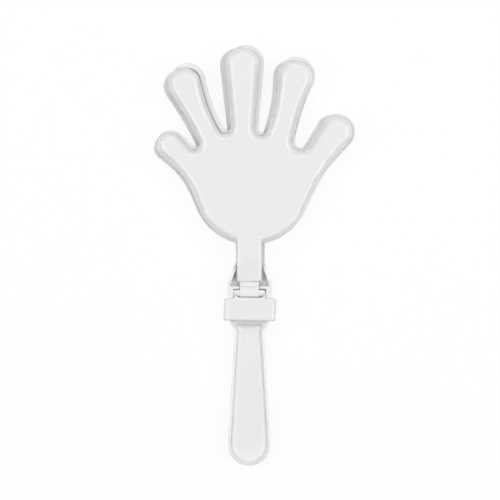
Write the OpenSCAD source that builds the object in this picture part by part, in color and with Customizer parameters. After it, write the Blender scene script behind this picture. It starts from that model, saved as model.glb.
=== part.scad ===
// Toy hand clapper: a handle with a fixed centre hand and two loose outer hands
// that swing on trunnions in the neck and slap against the centre hand.
// Units are millimetres. The part lies on its back: X to the thumb side,
// Y to the fingertips, Z up out of the front palm. The origin is on the table
// below the middle of the part.

/* [Fingers of every hand: centre x, centre y above the hinge, radius] */
// Thumb tip
thumb_tip = [58.0, 108.0, 10.8]; // [5:0.1:130]
// Index fingertip
index_tip = [30.5, 144.3, 11.6]; // [5:0.1:170]
// Middle fingertip
middle_tip = [-5.1, 153.1, 11.5]; // [-20:0.1:180]
// Ring fingertip
ring_tip = [-43.9, 139.9, 10.9]; // [-60:0.1:170]
// Little fingertip
little_tip = [-53.5, 99.0, 8.7]; // [-70:0.1:130]
// Palm
palm = [1.7, 71.4, 38.9]; // [-5:0.1:90]
// Web between thumb and index finger
thumb_web = [34.2, 101.0, 5.7]; // [2:0.1:120]
// Web between index and middle finger
index_web = [7.6, 109.8, 4.4]; // [2:0.1:130]
// Web between middle and ring finger
middle_web = [-17.1, 111.2, 4.3]; // [-30:0.1:130]
// Web between ring and little finger
ring_web = [-37.4, 99.5, 3.6]; // [-50:0.1:120]
// Hollow of the palm's side under the thumb, radius
thumb_side_r = 57; // [48:1:80]
// Hollow of the palm's side under the little finger, radius
little_side_r = 50; // [42:1:70]
// Hollow sides of the index finger, thumb side and middle side, radius
index_side_r = [150, 100]; // [80:1:250]
// Hollow sides of the ring finger, middle side and little side, radius
ring_side_r = [100, 210]; // [80:1:250]

/* [Fingers of the centre hand: steps from the outer hand's] */
// Step of the thumb tip
thumb_step = [0.6, 0.3]; // [0:0.1:3]
// Step of the index fingertip
index_step = [0.5, 1.5]; // [0:0.1:3]
// Step of the middle fingertip
middle_step = [2.3, 0.7]; // [0:0.1:3]
// Step of the ring fingertip
ring_step = [2.2, 2.3]; // [0:0.1:3]
// Step of the little fingertip
little_step = [0.3, 0.5]; // [0:0.1:3]
// How much fuller the centre fingers are, on the radius
centre_over = 1; // [0:0.1:1.5]

/* [Hand sections] */
// Depth of an outer hand, rim to palm face
hand_t = 8; // [7:0.1:10]
// Wall of an outer hand
hand_wall = 1.6; // [1.4:0.1:2.4]
// Width of an outer hand's flat rim around its hollow
hand_rim = 3.6; // [2.6:0.1:4]
// Width of the rounded edge around an outer palm
hand_round = 4.9; // [3.5:0.1:6]
// Thickness of the centre hand's rim
centre_t = 6.4; // [5:0.1:7]
// Width of the centre hand's rim
centre_rim = 3.3; // [1.6:0.1:4]
// Thickness of the centre hand's web
centre_web = 3.2; // [1.4:0.1:4]
// Gap between two closed hands
hand_gap = 0.4; // [0.3:0.05:0.8]
// Lean of the loose rear hand to the other side, degrees
rear_lean = 1.35; // [0:0.05:1.5]

/* [Hinge] */
// Radius of a trunnion bar
bar_r = 2.5; // [2:0.1:2.7]
// Length of a trunnion bar
bar_l = 21; // [17:0.1:21.2]
// Height of a trunnion axis over the middle plane
bar_z = 6.2; // [5.9:0.1:6.6]
// Clearance of the bar in its seat
bar_play = 0.4; // [0.3:0.05:0.6]
// Radius of the knuckle on the bar
knuckle_r = 3; // [2.8:0.1:3.2]
// Width of the tongue and its knuckle
tongue_w = 12.9; // [10:0.1:14]
// Width of the strap from palm to tongue
strap_w = 16.8; // [15:0.1:17.4]
// How far the strap and its bar stand to the little finger's side
strap_side = 0.4; // [0:0.05:0.5]
// Thickness of the strap
strap_t = 4.2; // [3.2:0.1:4.4]
// Height over the hinge where the strap bends in
bend_y = 22.5; // [20:0.1:26]
// Height over the hinge where the strap ends
strap_y = 7.8; // [7:0.1:9]
// Lean of the bent strap, degrees
bend = 8.5; // [6:0.1:9]

/* [Neck and collar] */
// How far the neck block stands to the little finger's side
block_side = 0.2; // [0:0.05:0.5]
// Width of the neck block
block_w = 29.8; // [28:0.1:32]
// Depth of the neck block
block_d = 18.4; // [18.2:0.1:19.4]
// Width of the neck under the centre palm
neck_w = 19; // [17:0.1:20]
// Width of the trunnion seats between the rails
seat_w = 21.6; // [21.4:0.1:23]
// Thickness of the rails beside the strap
rail_t = 2.1; // [1.8:0.1:3]
// Height over the hinge where the rails run out
rail_y = 20; // [17:0.1:22]
// Outer width of the collar
collar_w = 35; // [34.4:0.1:38]
// Outer depth of the collar
collar_d = 23.1; // [22.6:0.1:24]
// Height of the collar
collar_h = 15.2; // [12:0.1:15.4]
// Top of the collar under the hinge
collar_y = 3.4; // [3.2:0.1:4]
// Side clearance of the collar on the neck block
collar_play = 0.35; // [0.25:0.05:0.45]
// Turn of the loose collar, degrees
collar_lean = 0.9; // [0:0.1:1.2]
// Slant of the collar's sides, degrees
collar_slant = 2.2; // [0:0.1:3]
// Rounding of the collar's edges
collar_round = 1.6; // [1:0.1:2]

/* [Handle] */
// Length of the handle under the hinge
handle_l = 115.5; // [95:0.1:140]
// How far the handle stands to the little finger's side
handle_side = 0.5; // [0:0.05:1]
// Width at the round end
handle_w = 28.4; // [24:0.1:29.4]
// Width at the waist
waist_w = 19.3; // [16:0.1:21]
// Height of the waist under the hinge
waist_y = 26.2; // [26:0.1:30]
// Radius of the corner at the waist
flare_r = 3; // [2:0.1:5]
// Slope of the flare over the waist, degrees
flare_lean = 28; // [22:1:32]
// Thickness of the handle
handle_t = 11; // [10:0.1:17]
// Width of the rim around the tray
tray_rim = 1.6; // [1.2:0.1:2.4]
// Thickness of the web in the tray
tray_web = 3.6; // [1.8:0.1:4.4]
// Width of the soft corner in the tray
tray_soft = 3.8; // [2:0.1:4]
// Radius of the ejector mark at the waist, and at the round end
mark_r = [3.1, 4]; // [2:0.1:4.4]

/* [Hidden] */
$fn = 64;
facet = 0.085;
eps = 0.05;
hand_z = centre_t / 2 + hand_gap;
top_z = hand_z + hand_t;
half_w = block_w / 2;
half_d = block_d / 2;
seat_r = bar_r + bar_play;
handle_top = collar_y + collar_h + 0.4;
end_r = handle_w / 2;
end_y = end_r - handle_l;
// the middle of the part in plan, seen from the hinge
right_x = thumb_tip[0] + thumb_step[0] + thumb_tip[2] + centre_over;
left_x = little_tip[0] - little_tip[2] - little_tip[1] * sin(rear_lean);
mid_x = (right_x + left_x) / 2;
mid_y = (middle_tip[1] + middle_step[1] + middle_tip[2] + centre_over - handle_l) / 2;

// Belts: a closed line around signed circles [x, y, r, side], side 1 for a
// circle inside the shape and -1 for a hollow outside it.
function signed(c) = c[2] * c[3];
function inside(c) = [c[0], c[1], c[2], 1];
function hollow(c) = [c[0], c[1], c[2], -1];
function span(p, q) = norm([q[0] - p[0], q[1] - p[1]]);
function heading(p, q) = atan2(q[1] - p[1], q[0] - p[0]);
function limit(k) = max(-1, min(1, k));
function wrap(a) = a - 360 * floor(a / 360);
function facing(p, q) =
    heading(p, q) - acos(limit((signed(p) - signed(q)) / span(p, q)));
function sweep(a0, a1, side) = side > 0 ? wrap(a1 - a0) : -wrap(a0 - a1);
function arc_step(r) = min(15, 2 * acos(1 - facet / r));
function turns(cs, i) =
    let (k = len(cs), a0 = facing(cs[(i + k - 1) % k], cs[i]))
    [a0, sweep(a0, facing(cs[i], cs[(i + 1) % k]), cs[i][3])];
// points with their outward directions, counts[i] steps on circle i
function stepped_belt(cs, counts) = [
    for (i = [0 : len(cs) - 1])
        let (q = cs[i], t = turns(cs, i))
        for (j = [0 : counts[i]])
            let (a = t[0] + t[1] * j / counts[i])
            [q[0] + signed(q) * cos(a), q[1] + signed(q) * sin(a), cos(a), sin(a)]
];
function belt(cs) = stepped_belt(cs, [
    for (i = [0 : len(cs) - 1]) max(1, ceil(abs(turns(cs, i)[1]) / arc_step(cs[i][2])))
]);
// hollow of radius r that runs from circle p to circle q, on p's right, off both by a gap
function touching(p, q, r, gap = 0.1) =
    let (
        d = span(p, q),
        a = signed(p) + r + gap,
        b = signed(q) + r + gap,
        u = (d * d + a * a - b * b) / (2 * d),
        h = sqrt(max(0, a * a - u * u)),
        t = heading(p, q)
    )
    [p[0] + u * cos(t) + h * sin(t), p[1] + u * sin(t) - h * cos(t), r, -1];

tips = [thumb_tip, index_tip, middle_tip, ring_tip, little_tip];
webs = [thumb_web, index_web, middle_web, ring_web];
// a hand's outline with its fingertips moved by steps and its fingers fuller by over
function hand(steps, over) =
    let (
        tip = [for (i = [0 : 4])
            [tips[i][0] + steps[i][0], tips[i][1] + steps[i][1], tips[i][2] + over, 1]],
        web = [for (i = [0 : 3])
            let (s = (steps[i] + steps[i + 1]) / 2)
            [webs[i][0] + s[0], webs[i][1] + s[1], webs[i][2] - over, -1]]
    )
    belt([
        inside(palm),
        touching(inside(palm), tip[0], thumb_side_r, 2.3),
        tip[0],
        web[0],
        touching(web[0], tip[1], index_side_r[0]),
        tip[1],
        touching(tip[1], web[1], index_side_r[1]),
        web[1],
        tip[2],
        web[2],
        touching(web[2], tip[3], ring_side_r[0]),
        tip[3],
        touching(tip[3], web[3], ring_side_r[1]),
        web[3],
        tip[4],
        touching(tip[4], inside(palm), little_side_r, 0.7)
    ]);
hand_belt = hand([[0, 0], [0, 0], [0, 0], [0, 0], [0, 0]], 0);
centre_belt = hand([thumb_step, index_step, middle_step, ring_step, little_step], centre_over);
// the handle's outline drawn in by an inset, its upper edge at -top - inset
corner_r = 1.6;
function handle_ring(inset, top, z) =
    let (
        flare = [waist_w / 2 + flare_r, -waist_y, flare_r + inset, -1],
        y = max(-top - inset - corner_r, 0.3 - waist_y),
        reach = flare[2] + corner_r + 0.002,
        rise = y - flare[1],
        x = rise > reach * sin(flare_lean)
            ? flare[0] + (rise * sin(flare_lean) - reach) / cos(flare_lean)
            : flare[0] - sqrt(max(0, reach * reach - rise * rise))
    )
    [for (p = stepped_belt([
        [0, end_y, end_r - inset, 1],
        flare,
        [x, y, corner_r, 1],
        [-x, y, corner_r, 1],
        [-flare[0], flare[1], flare[2], -1]
    ], [20, 6, 5, 5, 6])) [p[0], p[1], z]];
// the neck's outline from the collar up into the palm, drawn in by an inset
neck_side = 0.6;
neck_top = palm[1] - palm[2] + 6;
bend_r = 12;
foot_r = 6;
function flare_line(inset) =
    let (half_n = neck_w / 2 - inset)
    belt([
        [half_w - inset - 1, 1.6 - handle_top + inset, 1, 1],
        [half_w - bend_r, 5.2, bend_r - inset, 1],
        [neck_side + neck_w / 2 + foot_r, rail_y + 0.5, foot_r + inset, -1],
        [neck_side + half_n - 1, neck_top - inset, 1, 1],
        [neck_side - half_n + 1, neck_top - inset, 1, 1],
        [neck_side - neck_w / 2 - foot_r, rail_y + 3.2, foot_r + inset, -1],
        [bend_r - half_w, 5.2, bend_r - inset, 1],
        [1 + inset - half_w, 1.6 - handle_top + inset, 1, 1]
    ]);
collar_belt = belt([
    [collar_w / 2 - 3, collar_d / 2 - 3, 3, 1],
    [3 - collar_w / 2, collar_d / 2 - 3, 3, 1],
    [3 - collar_w / 2, 3 - collar_d / 2, 3, 1],
    [collar_w / 2 - 3, 3 - collar_d / 2, 3, 1]
]);
// quarter-round edges [inset, height], top to bottom and bottom to top
function ease(w, h, z, n) =
    [for (i = [n : -1 : 0]) [w * (1 - cos(90 * i / n)), z + h * sin(90 * i / n)]];
function ease_up(w, h, z, n) =
    [for (i = [0 : n]) [w * (1 - cos(90 * i / n)), z + h * sin(90 * i / n)]];

// rings of points, one for each [inset, height]
function rings(b, prof) =
    [for (r = prof) [for (p = b) [p[0] - r[0] * p[2], p[1] - r[0] * p[3], r[1]]]];

// a ring's flat cap as triangles, cut off one corner at a time
function side_of(a, b, p) = (b[0] - a[0]) * (p[1] - a[1]) - (b[1] - a[1]) * (p[0] - a[0]);
function covers(a, b, c, p) =
    side_of(a, b, p) >= 0 && side_of(b, c, p) >= 0 && side_of(c, a, p) >= 0;
function corner(left, i) =
    let (n = len(left))
    [left[(i + n - 1) % n], left[i], left[(i + 1) % n]];
function is_free(ring, left, c) =
    let (p = ring[c[0]], q = ring[c[1]], r = ring[c[2]])
    side_of(p, q, r) > 0
    && len([for (k = left) if (k != c[0] && k != c[1] && k != c[2] && covers(p, q, r, ring[k])) k]) == 0;
function free_corner(ring, left, i) =
    i + 1 >= len(left) || is_free(ring, left, corner(left, i)) ? i : free_corner(ring, left, i + 1);
function cap(ring, left, from) =
    len(left) < 4 ? [left] :
    let (i = free_corner(ring, left, min(from, len(left) - 1)))
    let (j = i + 1 >= len(left) && from > 0 ? free_corner(ring, left, 0) : i)
    concat([corner(left, j)], cap(ring, [for (k = [0 : len(left) - 1]) if (k != j) left[k]], j));

// a solid through rings with equal counts of points, top ring first
module skin(rows) {
    n = len(rows[0]);
    m = len(rows);
    order = [for (i = [0 : n - 1]) i];
    polyhedron(
        points = [for (row = rows) each row],
        faces = concat(
            [for (c = cap(rows[0], order, 0)) [c[2], c[1], c[0]]],
            [for (k = [0 : m - 2]) for (i = [0 : n - 1])
                let (j = (i + 1) % n)
                [k * n + i, k * n + j, (k + 1) * n + j, (k + 1) * n + i]],
            [for (c = cap(rows[m - 1], order, 0)) [for (i = c) (m - 1) * n + i]]
        )
    );
}

module loft(b, prof) {
    skin(rings(b, prof));
}

function below(w, z, n) =
    [for (i = [1 : n]) [w * (1 - cos(90 * i / n)), z + w * (1 - sin(90 * i / n))]];

// a rod along X through [y, z]
module rod(r, l, y, z) {
    translate([-l / 2, y, z])
        rotate([0, 90, 0])
            cylinder(r = r, h = l);
}

// a block centred on X
module slab(w, y0, y1, z0, z1) {
    translate([-w / 2, y0, z0])
        cube([w, y1 - y0, z1 - z0]);
}

// section of the strap [x, depth under its outer face], round-edged outside
strap_round = 2;
function strap_section() = concat(
    [[strap_w / 2, -strap_t]],
    [for (i = [0 : 5]) [strap_w / 2 - strap_round * (1 - cos(18 * i)), strap_round * (sin(18 * i) - 1)]],
    [for (i = [5 : -1 : 0]) [strap_round * (1 - cos(18 * i)) - strap_w / 2, strap_round * (sin(18 * i) - 1)]],
    [[-strap_w / 2, -strap_t]]
);

// a bar through sections at stations [y, z of its outer face], top station first
module bent_bar(section, stations) {
    n = len(section);
    m = len(stations);
    polyhedron(
        points = [for (s = stations) for (p = section) [p[0], s[0], s[1] + p[1]]],
        faces = concat(
            [[for (i = [0 : n - 1]) i]],
            [for (k = [0 : m - 2]) for (i = [0 : n - 1])
                let (j = (i + 1) % n)
                [k * n + j, k * n + i, (k + 1) * n + i, (k + 1) * n + j]],
            [[for (i = [n - 1 : -1 : 0]) (m - 1) * n + i]]
        )
    );
}

module loose_hand() {
    strap_top = palm[1] - palm[2] + hand_round + 2.5;
    strap_z = top_z - eps;
    end_z = strap_z - (bend_y - strap_y - 0.8) * tan(bend);
    tongue_z = bar_z + knuckle_r - 0.3;
    loft(hand_belt, concat(
        ease(hand_round, hand_t - 1, hand_z + 1, 6),
        [[0.1, hand_z], [hand_rim, hand_z]],
        [for (r = ease_up(hand_round + hand_wall - 0.6 - hand_rim, hand_t - hand_wall - 1.5, hand_z + 1.5, 2))
            [r[0] + hand_rim, r[1]]]
    ));
    translate([-strap_side, 0, 0]) {
        bent_bar(strap_section(), [[strap_top, strap_z], [bend_y + 0.8, strap_z],
                                   [bend_y - 0.8, strap_z - 0.8 * tan(bend)], [strap_y + 0.8, end_z],
                                   [strap_y + 0.25, end_z - 0.3], [strap_y, end_z - 0.8]]);
        difference() {
            slab(tongue_w, 0, strap_y + 1, bar_z - 0.1, tongue_z);
            scoop(knuckle_r + 0.8, tongue_z);
        }
        rod(knuckle_r, tongue_w, 0, bar_z);
        rod(bar_r, bar_l, 0, bar_z);
    }
}

// the shallow scoop under the strap's end, its edge at y and its rim at z
scoop_r = 30;
scoop_depth = 1.7;
module scoop(y, z) {
    intersection() {
        translate([0, y + 0.87 * scoop_r, z + 0.5 * scoop_r])
            sphere(r = scoop_r, $fn = 128);
        slab(tongue_w + 2, 0, strap_y + 2, z - scoop_depth, z + 1);
    }
}

// what the front of the neck block loses: the room beside the strap, trunnion seat, core
module neck_hollows() {
    bar_top = seat_r + 1.7;
    passage = tongue_w + 2 * bar_play;
    intersection() {
        translate([0, 0, centre_t / 2])
            linear_extrude(half_d)
                polygon([for (p = flare_line(rail_t)) [p[0], p[1]]]);
        slab(block_w, bar_top, rail_y + 5, 0, half_d + 1);
    }
    slab(strap_w + 1.6, bar_top + 1, rail_y + 5, centre_t / 2 - 0.1, half_d + 1);
    translate([block_side - strap_side, 0, 0]) {
        slab(passage, 0, bar_top + 1.2, bar_z - 0.6, half_d + 1);
        slab(passage, -knuckle_r - bar_play, knuckle_r + bar_play, bar_z, half_d + 1);
        rod(knuckle_r + bar_play, passage, 0, bar_z);
    }
    slab(seat_w, -seat_r, seat_r, bar_z, half_d + 1);
    rod(seat_r, seat_w, 0, bar_z);
    slab(seat_w, 2.3 - handle_top, -seat_r - 2, centre_t / 2, half_d + 1);
}

module neck_block() {
    t = centre_t / 2 - 0.3;
    difference() {
        intersection() {
            translate([0, 0, -half_d])
                linear_extrude(block_d)
                    polygon([for (p = flare_line(0)) [p[0], p[1]]]);
            translate([-block_w, 0, 0])
                rotate([90, 0, 90])
                    linear_extrude(2 * block_w)
                        polygon([[-handle_top - 8, -half_d], [8, -half_d], [rail_y, -t],
                                 [palm[1], -t], [palm[1], t], [rail_y, t],
                                 [8, half_d], [-handle_top - 8, half_d]]);
        }
        neck_hollows();
        mirror([0, 0, 1])
            neck_hollows();
    }
}

module handle() {
    t = handle_t / 2;
    z0 = tray_web / 2;
    h = min(3.4, t - z0 - 0.8);
    floor_rings = [for (i = [4 : -1 : 0])
        handle_ring(tray_rim + 0.3 + (tray_soft - 0.3) * (1 - cos(22.5 * i)), handle_top,
                    z0 + h * (1 - sin(22.5 * i)))];
    lip_rings = [handle_ring(tray_rim, handle_top, t - 0.3), handle_ring(tray_rim - 0.3, handle_top, t)];
    edge_rings = [for (r = [[0.8, t], [0.25, t - 0.25], [0, t - 0.8]])
        handle_ring(r[0], handle_top - 2, r[1])];
    upper = concat(floor_rings, lip_rings, edge_rings);
    lower = [for (k = [len(upper) - 1 : -1 : 0]) [for (p = upper[k]) [p[0], p[1], -p[2]]]];
    skin(concat(upper, lower));
    translate([-0.3, -waist_y - 0.7, 0])
        cylinder(r = mark_r[0], h = tray_web / 2 + 0.15);
    translate([-0.9, end_y - 2.6, 0])
        cylinder(r = mark_r[1], h = tray_web / 2 + 0.15);
}

module fixed_hand() {
    t = centre_t / 2;
    w = centre_web / 2;
    upper = [[centre_rim + 2.6, w], [centre_rim + 0.5, w + 0.4], [centre_rim, t],
             [0.6, t], [0, t - 0.7]];
    loft(centre_belt, concat(upper, [for (i = [len(upper) - 1 : -1 : 0]) [upper[i][0], -upper[i][1]]]));
}

module in_place() {
    translate([-mid_x, -mid_y, top_z])
        children();
}

module centre_hand_handle() {
    color("#f4f4f2")
        in_place() {
            fixed_hand();
            translate([-block_side, 0, 0])
                neck_block();
            translate([-handle_side, 0, 0])
                handle();
        }
}

module front_hand() {
    color("#f6f6f4")
        in_place()
            loose_hand();
}

module rear_hand() {
    color("#f6f6f4")
        in_place()
            rotate([0, 0, rear_lean])
                mirror([0, 0, 1])
                    loose_hand();
}

// a scooped lip that stands in front of a trunnion bar
module collar_lip() {
    r = 3.6;
    w = seat_w - 1.6;
    y0 = 0.45 - collar_y;
    difference() {
        slab(seat_w - 0.8, -collar_y - 2, 0.2, half_d, half_d + 1.5);
        slab(w - 2 * r, y0, 4, half_d - 1, half_d + 3);
        slab(w, y0 + r, 4, half_d - 1, half_d + 3);
        for (x = [r - w / 2, w / 2 - r])
            translate([x, y0 + r, half_d - 1])
                cylinder(r = r, h = 4);
    }
}

module collar() {
    mid = collar_y + collar_h / 2;
    edge = concat(
        ease(collar_round, collar_round, collar_h - collar_round, 4),
        [[0, collar_round]],
        below(collar_round, 0, 4)
    );
    color("#f2f2f0")
        in_place()
            translate([0, -mid, 0])
                rotate([0, 0, -collar_lean])
                    translate([0, mid, 0]) {
                        difference() {
                            translate([0, -collar_y, 0])
                                rotate([90, 0, 0])
                                    skin([for (row = rings(collar_belt, edge)) [for (p = row)
                                        [p[0] + (collar_h / 2 - p[2]) * tan(collar_slant), p[1], p[2]]]]);
                            translate([-block_side, 0, 0])
                                slab(block_w + 2 * collar_play, -collar_y - collar_h - 1, 1 - collar_y,
                                     -half_d, half_d);
                        }
                        for (turn = [0, 1])
                            mirror([0, 0, turn])
                                translate([-block_side, 0, 0])
                                    collar_lip();
                    }
}

centre_hand_handle();
front_hand();
rear_hand();
collar();
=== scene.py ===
import math
import bmesh
import bpy
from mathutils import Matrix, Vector


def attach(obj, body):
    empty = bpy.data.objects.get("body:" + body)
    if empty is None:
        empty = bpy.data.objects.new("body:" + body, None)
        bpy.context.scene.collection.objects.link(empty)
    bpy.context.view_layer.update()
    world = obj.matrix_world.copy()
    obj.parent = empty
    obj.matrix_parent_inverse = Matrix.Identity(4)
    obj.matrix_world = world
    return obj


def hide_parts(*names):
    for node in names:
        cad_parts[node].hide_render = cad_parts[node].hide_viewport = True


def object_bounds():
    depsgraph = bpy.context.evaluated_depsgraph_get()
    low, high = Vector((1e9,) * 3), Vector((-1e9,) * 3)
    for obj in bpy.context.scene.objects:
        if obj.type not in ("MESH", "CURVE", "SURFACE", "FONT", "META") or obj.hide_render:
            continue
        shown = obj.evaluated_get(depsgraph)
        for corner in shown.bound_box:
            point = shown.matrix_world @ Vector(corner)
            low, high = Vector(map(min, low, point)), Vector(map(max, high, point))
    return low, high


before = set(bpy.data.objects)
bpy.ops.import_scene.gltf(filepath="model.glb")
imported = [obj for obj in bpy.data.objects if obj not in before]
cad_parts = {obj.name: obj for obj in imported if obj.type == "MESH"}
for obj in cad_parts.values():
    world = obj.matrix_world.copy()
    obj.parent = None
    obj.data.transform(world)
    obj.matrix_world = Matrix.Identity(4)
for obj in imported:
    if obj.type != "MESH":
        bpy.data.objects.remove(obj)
cad_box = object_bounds()

MM = 0.001
WHITE = (1.0, 1.0, 1.0, 1.0)

# The white plastic.
BODY_COLOUR = "#EDEDED"
STREAK_COLOUR = "#EAEAEA"
STREAK_LENGTH = 45 * MM
PEEL_LENGTH = 1.6 * MM
PEEL_DEPTH = 0.02 * MM
PEEL_STRENGTH = 0.05
SMOOTHEST, ROUGHEST = 0.13, 0.18
PLASTIC_IOR = 1.49
SCATTER_WEIGHT = 0.3
SCATTER_DEPTH = 1.0 * MM

# The shading of the CAD skins.
WELD = 0.003 * MM
SHARP_DEG = 40
SAME_PLANE = 0.99999  # cosine between two faces' directions
PANEL_AREA = 6 * MM * MM
PANEL_WIDTH = 1.2 * MM

# The studio: metres and watts.
FLOOR_HALF = 40.0
FLOOR_COLOUR = "#F4F4F4"
GLOW_SHARE = 0.9
GLOW_STRENGTH = 0.95
AIR_STRENGTH = 0.06
AIM_HEIGHT = 10 * MM
SIDES = ((-1, 0.96), (1, 1.04))  # the thumb side is a little stronger
SIDE_LAMPS = (  # name, reach to the side, height, length and width, watts
    ("key_box", 0.65, 1.13, (1.0, 0.6), 7.85),
    ("side_panel", 1.09, 0.71, (1.6, 0.6), 2.0),
    ("low_panel", 1.26, 0.34, (2.0, 0.6), 1.0),
)
MIDDLE_LAMPS = (  # name, reach to the fingertips, height, size, watts
    ("fingertip_fill", 0.92, 0.92, (0.5, 0.8), 3.0),
    ("overhead", 0.0, 3.4, (1.8, 1.8), 0.5),
)

# The camera, straight above the middle of the picture.
PHOTO_PX = 500
MM_PER_PX = 0.67
SCALE_LEVEL = 15.2 * MM  # where one pixel is MM_PER_PX
CAMERA_HEIGHT = 3.0  # above that level
CAMERA_REACH = 100.0
HINGE = (-2.934 * MM, -25.4 * MM)
PICTURE_MIDDLE = 28.9 * MM  # from the hinge towards the fingertips


def linear(hex_colour):
    """An sRGB hex colour as linear red, green, blue and alpha."""
    parts = [int(hex_colour[i:i + 2], 16) / 255 for i in (1, 3, 5)]
    return tuple(c / 12.92 if c <= 0.04045 else ((c + 0.055) / 1.055) ** 2.4
                 for c in parts) + (1.0,)


def add(tree, kind, links=None, **settings):
    """One shader node with its settings and links: {input: node, or (node, output)}."""
    made = tree.nodes.new(kind)
    for key, value in settings.items():
        if key in made.bl_rna.properties:
            setattr(made, key, value)
        else:
            made.inputs[key.replace("_", " ")].default_value = value
    for key, source in (links or {}).items():
        out, name = source if isinstance(source, tuple) else (source, 0)
        tree.links.new(out.outputs[name], made.inputs[key])
    return made


def new_material(name):
    """An empty material and its node tree."""
    made = bpy.data.materials.new(name)
    made.use_nodes = True
    made.node_tree.nodes.clear()
    return made, made.node_tree


def place_in_scene(name, data):
    """A new object with this data in the scene."""
    made = bpy.data.objects.new(name, data)
    bpy.context.scene.collection.objects.link(made)
    return made


# White polypropylene, injection moulded in a polished tool: a near-white body
# with a soft gloss, a faint orange peel and slow flow streaks.
def moulded_polypropylene(name, body, streak):
    made, tree = new_material(name)
    place = (add(tree, "ShaderNodeTexCoord"), "Object")
    flow = add(tree, "ShaderNodeTexNoise", {"Vector": place}, Scale=1 / STREAK_LENGTH, Detail=2.0)
    peel = add(tree, "ShaderNodeTexNoise", {"Vector": place}, Scale=1 / PEEL_LENGTH, Detail=1.0)
    tone = add(tree, "ShaderNodeMix", {"Factor": flow}, data_type="RGBA")
    tone.inputs["A"].default_value = linear(body)
    tone.inputs["B"].default_value = linear(streak)
    rough = add(tree, "ShaderNodeMapRange", {"Value": flow}, To_Min=SMOOTHEST, To_Max=ROUGHEST)
    bump = add(tree, "ShaderNodeBump", {"Height": peel},
               Strength=PEEL_STRENGTH, Distance=PEEL_DEPTH)
    shader = add(tree, "ShaderNodeBsdfPrincipled",
                 {"Base Color": (tone, "Result"), "Roughness": rough, "Normal": bump},
                 IOR=PLASTIC_IOR, Subsurface_Weight=SCATTER_WEIGHT,
                 Subsurface_Radius=(1.0, 1.0, 1.0), Subsurface_Scale=SCATTER_DEPTH)
    add(tree, "ShaderNodeOutputMaterial", {"Surface": shader})
    return made


white = moulded_polypropylene("white_polypropylene", BODY_COLOUR, STREAK_COLOUR)


def flat_panels(shape):
    """The area and direction of each face's flat panel; a narrow strip counts as no area."""
    panel = {}
    for first in shape.faces:
        if first in panel:
            continue
        members, queue = {first}, [first]
        while queue:
            for edge in queue.pop().edges:
                for face in edge.link_faces:
                    if face not in members and face.normal.dot(first.normal) > SAME_PLANE:
                        members.add(face)
                        queue.append(face)
        area = sum(face.calc_area() for face in members)
        rim = sum(edge.calc_length() for face in members for edge in face.edges
                  if any(other not in members for other in edge.link_faces))
        found = (area if 2 * area > PANEL_WIDTH * rim else 0.0, first.normal.copy())
        panel.update((face, found) for face in members)
    return panel


def corner_normal(corner, panel, level):
    """The direction at a face's corner: its smooth neighbours' largest panel, or their mean."""
    fan, queue = {corner.face}, [corner.face]
    while queue:
        face = queue.pop()
        for edge in corner.vert.link_edges:
            if face in edge.link_faces:
                for other in edge.link_faces:
                    if other not in fan and other.normal.dot(face.normal) > level:
                        fan.add(other)
                        queue.append(other)
    area, direction = max((panel[face] for face in fan), key=lambda found: found[0])
    if area > PANEL_AREA:
        return direction
    return sum((face.normal * face.calc_area() for face in fan), Vector()).normalized()


def moulding(node, body):
    """The CAD node's own shape as one closed skin, smooth over its rounded faces."""
    shape = bmesh.new()
    shape.from_mesh(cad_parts[node].data)
    bmesh.ops.remove_doubles(shape, verts=shape.verts, dist=WELD)
    shape.normal_update()
    panel = flat_panels(shape)
    level = math.cos(math.radians(SHARP_DEG))
    normals = [corner_normal(corner, panel, level) for face in shape.faces for corner in face.loops]
    for face in shape.faces:
        face.smooth = True
    mesh = bpy.data.meshes.new(node + "_skin")
    shape.to_mesh(mesh)
    shape.free()
    mesh.normals_split_custom_set(normals)
    mesh.materials.clear()
    mesh.materials.append(white)
    piece = place_in_scene(node + "_skin", mesh)
    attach(piece, body)
    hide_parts(node)


moulding("centre_hand_handle", "handle")
moulding("collar", "handle")
moulding("front_hand", "front")
moulding("rear_hand", "rear")


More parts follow.
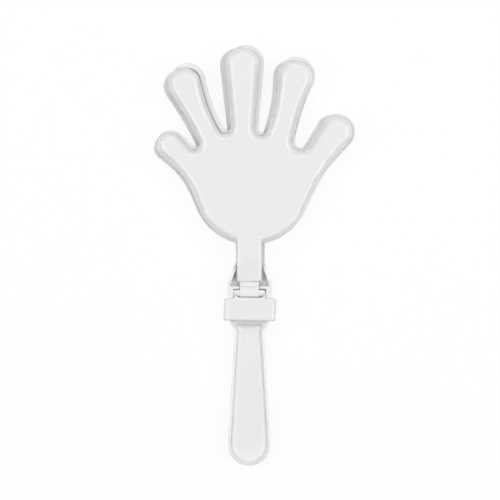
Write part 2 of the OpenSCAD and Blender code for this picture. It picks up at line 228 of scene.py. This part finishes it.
# White paper on a backlit sheet: the floor reads white to the camera and in
# reflections, and keeps a soft shadow. Its glow is only seen, so it isn't
# sampled as a lamp.
def paper_floor():
    made, tree = new_material("white_paper_floor")
    path = add(tree, "ShaderNodeLightPath")
    seen = add(tree, "ShaderNodeMath",
               {0: (path, "Is Camera Ray"), 1: (path, "Is Glossy Ray")}, operation="MAXIMUM")
    seen = add(tree, "ShaderNodeMath",
               {0: seen, 1: (path, "Is Transmission Ray")}, operation="MAXIMUM")
    share = add(tree, "ShaderNodeMath", {0: seen}, operation="MULTIPLY")
    share.inputs[1].default_value = GLOW_SHARE
    paper = add(tree, "ShaderNodeBsdfDiffuse", Color=linear(FLOOR_COLOUR))
    sheet = add(tree, "ShaderNodeBsdfTranslucent", Color=WHITE)
    glow = add(tree, "ShaderNodeEmission", Strength=GLOW_STRENGTH)
    backlit = add(tree, "ShaderNodeAddShader", {0: sheet, 1: glow})
    mixed = add(tree, "ShaderNodeMixShader", {0: share, 1: paper, 2: backlit})
    add(tree, "ShaderNodeOutputMaterial", {"Surface": mixed})
    made.cycles.emission_sampling = "NONE"
    return made


floor_mesh = bpy.data.meshes.new("floor")
shape = bmesh.new()
bmesh.ops.create_grid(shape, x_segments=1, y_segments=1, size=FLOOR_HALF)
shape.to_mesh(floor_mesh)
shape.free()
floor_mesh.materials.append(paper_floor())
floor = place_in_scene("floor", floor_mesh)

aim = Vector(((cad_box[0][0] + cad_box[1][0]) / 2, (cad_box[0][1] + cad_box[1][1]) / 2, AIM_HEIGHT))


def lamp(name, place, size, watts):
    """A softbox turned to the part's middle, which the camera itself doesn't see."""
    light = bpy.data.lights.new(name, "AREA")
    light.shape = "RECTANGLE"
    light.size, light.size_y = size
    light.energy = watts
    made = place_in_scene(name, light)
    made.location = place
    made.rotation_euler = (aim - Vector(place)).to_track_quat("-Z", "Y").to_euler()
    made.visible_camera = False


for side, strength in SIDES:
    for name, reach, height, size, watts in SIDE_LAMPS:
        lamp(name, (side * reach, 0.0, height), size, watts * strength)
for name, reach, height, size, watts in MIDDLE_LAMPS:
    lamp(name, (0.0, reach, height), size, watts)

world = bpy.data.worlds.new("studio")
bpy.context.scene.world = world
world.use_nodes = True
world.node_tree.nodes.clear()
air = add(world.node_tree, "ShaderNodeBackground", Color=WHITE, Strength=AIR_STRENGTH)
add(world.node_tree, "ShaderNodeOutputWorld", {"Surface": air})

# Straight down on the palms, with the fingertips up in the picture.
camera_data = bpy.data.cameras.new("camera")
camera_data.sensor_fit = "HORIZONTAL"
camera_data.angle = 2 * math.atan(PHOTO_PX * MM_PER_PX * MM / 2 / CAMERA_HEIGHT)
camera_data.clip_end = CAMERA_REACH
camera = place_in_scene("camera", camera_data)
camera.location = (HINGE[0], HINGE[1] + PICTURE_MIDDLE, SCALE_LEVEL + CAMERA_HEIGHT)
bpy.context.scene.camera = camera
bpy.context.scene.view_settings.view_transform = "Standard"
